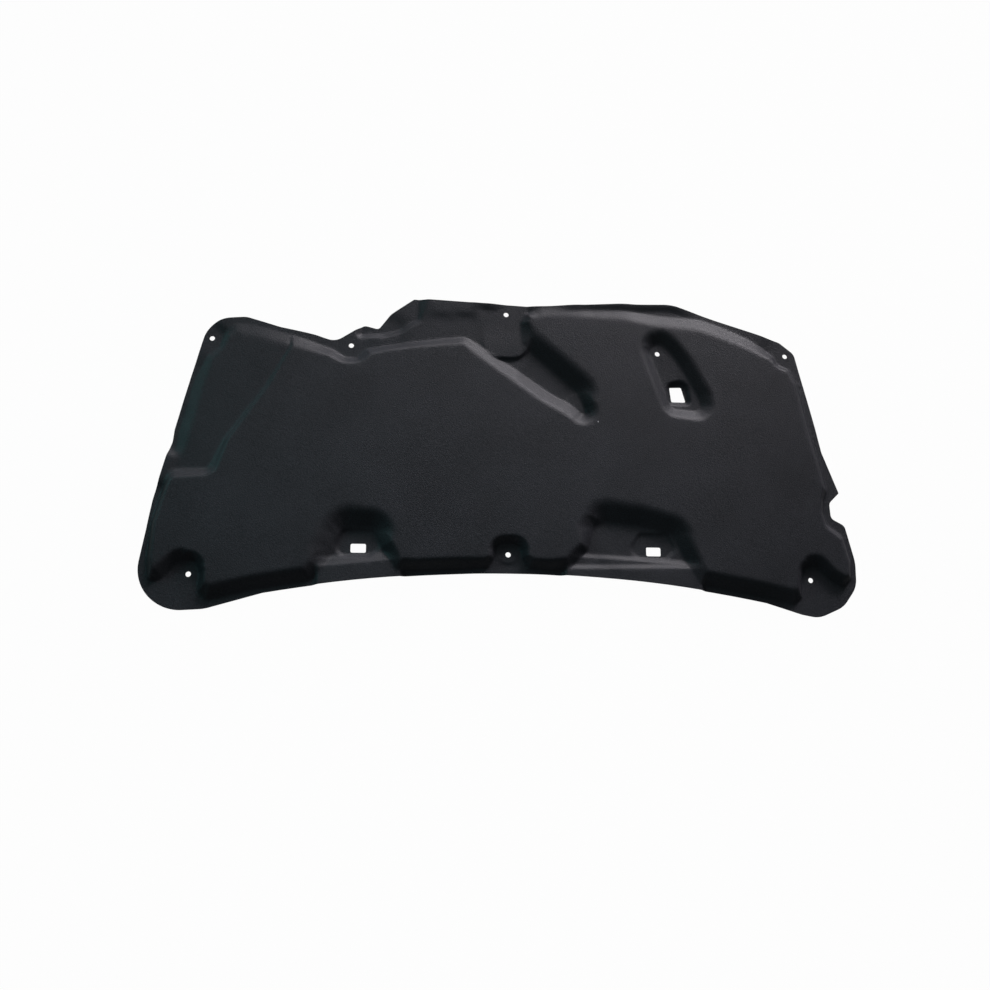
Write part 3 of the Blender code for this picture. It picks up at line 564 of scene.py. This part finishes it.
# Floor: how much of it shows plain white to the camera and in the felt's gloss, and its own grey
FLOOR_HALF = 6.0
FLOOR_DROP = 0.0005
FLOOR_WHITE = 0.98
FLOOR_GLOSS_SHARE = 0.3
FLOOR_GREY = 0.25
WHITE = (1.0, 1.0, 1.0)

KEY_COLOUR = (1.0, 0.955, 1.0)
FILL_COLOUR = (0.66, 0.92, 1.0)
LEFT_COLOUR = (0.32, 1.0, 1.0)
WORLD_COLOUR = (0.93, 0.97, 1.0)
WORLD_FILL = 0.09
# Windows, all turned to the pad's middle: name, place, width, height, watts, colour
WINDOWS = (
    ("key_window", (0.8, 6.9, 3.7), 6.0, 3.0, 265.0, KEY_COLOUR),
    ("low_window", (4.0, 6.3, 1.8), 3.6, 1.6, 300.0, KEY_COLOUR),
    ("top_fill", (0.0, -0.4, 3.5), 3.0, 3.0, 8.0, FILL_COLOUR),
)
# Spots, which fade from their middle to their edge: name, place, target, angle, radius, watts, colour
SPOTS = (
    ("centre_spot", (2.6, 6.7, 2.8), (0.09, -0.10, 0.0), math.radians(12.5), 0.9, 4550.0, KEY_COLOUR),
    ("left_spot", (-3.4, 1.7, 1.6), (-0.52, -0.08, 0.0), math.radians(20.0), 0.5, 185.0, LEFT_COLOUR),
)

# Camera fitted to the photo: its place, and the directions to its right, its top and its back
CAMERA_LENS = 40.0
SENSOR_WIDTH = 36.0
VIEW_DEPTH = 50.0
CAMERA_PLACE = (-0.22004 - OUTLINE_MIDDLE[0], -0.58004 - OUTLINE_MIDDLE[1], 1.98511)
CAMERA_RIGHT = (0.99522872, -0.00628133, 0.09736705)
CAMERA_UP = (-0.01737982, 0.97055336, 0.24025845)
CAMERA_BACK = (-0.09600905, -0.24080433, 0.96581341)


def divided(loop, step):
    """Outline points with the long edges divided."""
    points = []
    ends = np.roll(loop, -1, axis=0)
    for start, end in zip(loop, ends):
        length = math.hypot(end[0] - start[0], end[1] - start[1])
        pieces = max(1, round(length / step))
        for k in range(pieces):
            points.append(start[:2] + (end[:2] - start[:2]) * k / pieces)
    return np.array(points)


def circle(centre, radius, sides):
    angles = np.arange(sides) * 2 * math.pi / sides
    return np.stack([centre[0] + radius * np.cos(angles), centre[1] + radius * np.sin(angles)], axis=1)


def edge_loops():
    """The cut edge and the rims of all the holes, finely divided."""
    loops = [divided(rounded(outline_corners(), FINE_STEP), FINE_STEP)]
    loops += [circle(clip, CLIP_HOLE_DIAMETER / 2, HOLE_SIDES) for clip, _ in LANDS]
    for corners in (hose_hole_corners(HOSE_LEFT), hose_hole_corners(HOSE_RIGHT), prop_hole_corners()):
        loops.append(divided(rounded(corners, HOLE_STEP), HOLE_STEP))
    return loops


def on_felt(points, loops):
    """True where a point lies inside the cut edge and outside all the holes."""
    edge, *holes = [np.column_stack([loop, np.zeros(len(loop))]) for loop in loops]
    result = inside(points, edge)
    for hole in holes:
        result &= ~inside(points, hole)
    return result


def even_points(step):
    """Even points over the whole box of the outline, kept where they lie inside it."""
    low, high = OUTLINE.min(axis=0), OUTLINE.max(axis=0)
    across = np.arange(low[0], high[0], step)
    rows = np.arange(low[1], high[1], step * math.sqrt(0.75))
    points = np.concatenate([
        np.column_stack([across + 0.5 * step * (k % 2), np.full(len(across), y)]) for k, y in enumerate(rows)
    ])
    return points[inside(points, OUTLINE)]


def bend(points):
    """How far the upper face is from flat and level round each point, in metres."""
    here = surface(points)[0]
    result = np.zeros(len(points))
    for step in ((FINE_STEP, 0.0), (0.0, FINE_STEP)):
        ahead, behind = surface(points + step)[0], surface(points - step)[0]
        result = np.maximum(result, np.abs(ahead + behind - 2.0 * here))
        result = np.maximum(result, np.abs(ahead - behind) * SLOPE_WEIGHT)
    return result


def lattice(loops):
    """Points inside the sheet, clear of its edges: close on the walls, wider on the flat."""
    close, wide = even_points(FINE_STEP), even_points(FLAT_STEP)
    points = np.concatenate([close[bend(close) > LEAST_BEND], wide[bend(wide) <= LEAST_BEND]])
    points = points[on_felt(points, loops)]
    edge_points = np.concatenate(loops)
    tree = KDTree(len(edge_points))
    for i, (x, y) in enumerate(edge_points):
        tree.insert((x, y, 0.0), i)
    tree.balance()
    clear = [tree.find((x, y, 0.0))[2] > EDGE_CLEARANCE * FINE_STEP for x, y in points]
    return points[np.array(clear)]


def triangulate():
    """Flat triangulation of the sheet between its outline and its holes."""
    loops = edge_loops()
    constraints = []
    first = 0
    for loop in loops:
        count = len(loop)
        constraints += [(first + k, first + (k + 1) % count) for k in range(count)]
        first += count
    places = np.concatenate(loops + [lattice(loops)])
    flat = delaunay_2d_cdt([tuple(p) for p in places], constraints, [], 0, SAME_POINT, False)
    places = np.array([(v[0], v[1]) for v in flat[0]])
    faces = np.array(flat[2])
    return places, faces[on_felt(places[faces].mean(axis=1), loops)]


def build_pad(material):
    """The felt sheet: its upper face, and the same face below it at the thickness of the sheet."""
    places, faces = triangulate()
    heights, thicknesses = surface(places)
    places = places - OUTLINE_MIDDLE
    shape = bmesh.new()
    thickness_layer = shape.verts.layers.float.new("thickness")
    upper = []
    for (x, y), z, thickness in zip(places, heights, thicknesses):
        vert = shape.verts.new((x, y, z))
        vert[thickness_layer] = thickness
        upper.append(vert)
    for face in faces:
        shape.faces.new([upper[i] for i in face])
    thickened = bmesh.ops.extrude_face_region(shape, geom=shape.faces[:], use_keep_orig=True)
    for item in thickened["geom"]:
        if isinstance(item, bmesh.types.BMVert):
            item.co.z -= item[thickness_layer]
    bmesh.ops.recalc_face_normals(shape, faces=shape.faces[:])
    mesh = bpy.data.meshes.new("felt_pad")
    shape.to_mesh(mesh)
    shape.free()
    mesh.shade_smooth()
    mesh.set_sharp_from_angle(angle=SHARP_ANGLE)
    mesh.materials.append(material)
    pad = bpy.data.objects.new("felt_pad", mesh)
    bpy.context.scene.collection.objects.link(pad)
    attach(pad, "root")
    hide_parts(NODE)


def node_tools(owner):
    """Functions that add and link nodes in the emptied tree of a material or a world.

    A setting that starts with a capital is the value of the socket with that name.
    """
    owner.use_nodes = True
    tree = owner.node_tree
    tree.nodes.clear()

    def add(kind, **settings):
        node = tree.nodes.new("ShaderNode" + kind)
        for name, value in settings.items():
            if name[0].isupper():
                node.inputs[name.replace("_", " ")].default_value = value
            else:
                setattr(node, name, value)
        return node

    def scaled(source, factor, added=None):
        """The source times a factor, plus one more source where it is given."""
        node = add("Math", operation="MULTIPLY_ADD" if added else "MULTIPLY")
        tree.links.new(source, node.inputs[0])
        node.inputs[1].default_value = factor
        if added:
            tree.links.new(added, node.inputs[2])
        return node.outputs[0]
    return add, tree.links.new, scaled


def felt_material():
    """Black needled felt: fine fibre grain that also varies the gloss, and faint mottling."""
    material = bpy.data.materials.new("black_felt")
    add, link, scaled = node_tools(material)
    place = add("TexCoord").outputs["Object"]
    grain = add("TexNoise", Scale=GRAIN_SCALE, Detail=3.0, Roughness=0.65)
    mottle = add("TexNoise", Scale=MOTTLE_SCALE, Detail=4.0)
    for noise in (grain, mottle):
        link(place, noise.inputs["Vector"])
    shades = add("ValToRGB")
    for end, position, colour in zip(shades.color_ramp.elements, SHADE_ENDS, (FELT_DARK, FELT_LIGHT)):
        end.position = position
        end.color = (*colour, 1.0)
    fine = scaled(grain.outputs["Fac"], GRAIN_SHARE)
    link(scaled(mottle.outputs["Fac"], MOTTLE_SHARE, added=fine), shades.inputs["Fac"])

    speck = add("VectorMath", operation="DISTANCE")
    speck_height = surface(np.array([SPECK]))[0][0]
    speck.inputs[1].default_value = (*(np.array(SPECK) - OUTLINE_MIDDLE), speck_height)
    link(place, speck.inputs[0])
    dusty = add("Math", operation="LESS_THAN")
    dusty.inputs[1].default_value = SPECK_RADIUS
    link(speck.outputs["Value"], dusty.inputs[0])
    dust = add("Mix", data_type="RGBA", B=(*DUST_COLOUR, 1.0))
    link(dusty.outputs[0], dust.inputs["Factor"])
    link(shades.outputs["Color"], dust.inputs["A"])

    gloss = add(
        "MapRange", From_Min=GLOSS_ENDS[0], From_Max=GLOSS_ENDS[1], To_Min=FELT_SMOOTH, To_Max=FELT_ROUGH,
    )
    link(grain.outputs["Fac"], gloss.inputs["Value"])
    bump = add("Bump", Strength=FELT_BUMP, Distance=FIBRE_HEIGHT)
    link(grain.outputs["Fac"], bump.inputs["Height"])

    shader = add("BsdfPrincipled", Specular_IOR_Level=FELT_SPECULAR)
    link(dust.outputs["Result"], shader.inputs["Base Color"])
    link(gloss.outputs["Result"], shader.inputs["Roughness"])
    link(bump.outputs["Normal"], shader.inputs["Normal"])
    link(shader.outputs["BSDF"], add("OutputMaterial").inputs["Surface"])
    return material


def floor_material():
    """White floor: plain white to the camera, with a little of the pad's shadow left in it."""
    material = bpy.data.materials.new("white_floor")
    add, link, scaled = node_tools(material)
    matt = add("BsdfDiffuse", Color=(FLOOR_GREY, FLOOR_GREY, FLOOR_GREY, 1.0))
    white = add("Emission", Color=(*WHITE, 1.0), Strength=1.0)
    rays = add("LightPath").outputs
    seen = scaled(rays["Is Glossy Ray"], FLOOR_GLOSS_SHARE, added=rays["Is Camera Ray"])
    mix = add("MixShader")
    link(scaled(seen, FLOOR_WHITE), mix.inputs["Fac"])
    link(matt.outputs["BSDF"], mix.inputs[1])
    link(white.outputs["Emission"], mix.inputs[2])
    link(mix.outputs["Shader"], add("OutputMaterial").inputs["Surface"])
    return material


def build_floor():
    mesh = bpy.data.meshes.new("floor")
    shape = bmesh.new()
    bmesh.ops.create_grid(shape, x_segments=1, y_segments=1, size=FLOOR_HALF)
    shape.to_mesh(mesh)
    shape.free()
    mesh.materials.append(floor_material())
    floor = bpy.data.objects.new("floor", mesh)
    floor.location.z = -FLOOR_DROP
    bpy.context.scene.collection.objects.link(floor)


def build_camera():
    data = bpy.data.cameras.new("photo_camera")
    data.lens = CAMERA_LENS
    data.sensor_width = SENSOR_WIDTH
    data.clip_end = VIEW_DEPTH
    camera = bpy.data.objects.new("photo_camera", data)
    bpy.context.scene.collection.objects.link(camera)
    turn = Matrix((CAMERA_RIGHT, CAMERA_UP, CAMERA_BACK)).transposed().to_4x4()
    camera.matrix_world = Matrix.Translation(CAMERA_PLACE) @ turn
    bpy.context.scene.camera = camera


def add_lamp(name, kind, place, target, watts, colour):
    """A lamp turned to a target, as its light data, which still takes its size."""
    data = bpy.data.lights.new(name, kind)
    data.energy = watts
    data.color = colour
    lamp = bpy.data.objects.new(name, data)
    lamp.location = place
    lamp.rotation_euler = (Vector(target) - Vector(place)).to_track_quat("-Z", "Y").to_euler()
    bpy.context.scene.collection.objects.link(lamp)
    return data


def build_lamps():
    for name, place, width, height, watts, colour in WINDOWS:
        window = add_lamp(name, "AREA", place, (0.0, 0.0, 0.0), watts, colour)
        window.shape = "RECTANGLE"
        window.size = width
        window.size_y = height
    for name, place, target, angle, radius, watts, colour in SPOTS:
        spot = add_lamp(name, "SPOT", place, target, watts, colour)
        spot.spot_size = angle
        spot.spot_blend = 1.0
        spot.shadow_soft_size = radius


def build_world():
    """A dim even fill, which shows as plain white to the camera."""
    world = bpy.data.worlds.new("studio")
    bpy.context.scene.world = world
    add, link, _ = node_tools(world)
    soft = add("Background", Color=(*WORLD_COLOUR, 1.0), Strength=WORLD_FILL)
    white = add("Background", Color=(*WHITE, 1.0), Strength=1.0)
    rays = add("LightPath").outputs
    seen = add("Math", operation="MAXIMUM")
    link(rays["Is Camera Ray"], seen.inputs[0])
    link(rays["Is Transmission Ray"], seen.inputs[1])
    mix = add("MixShader")
    link(seen.outputs[0], mix.inputs["Fac"])
    link(soft.outputs[0], mix.inputs[1])
    link(white.outputs[0], mix.inputs[2])
    link(mix.outputs[0], add("OutputWorld").inputs["Surface"])


build_camera()
bpy.context.scene.view_settings.view_transform = "Standard"
build_pad(felt_material())
build_floor()
build_lamps()
build_world()
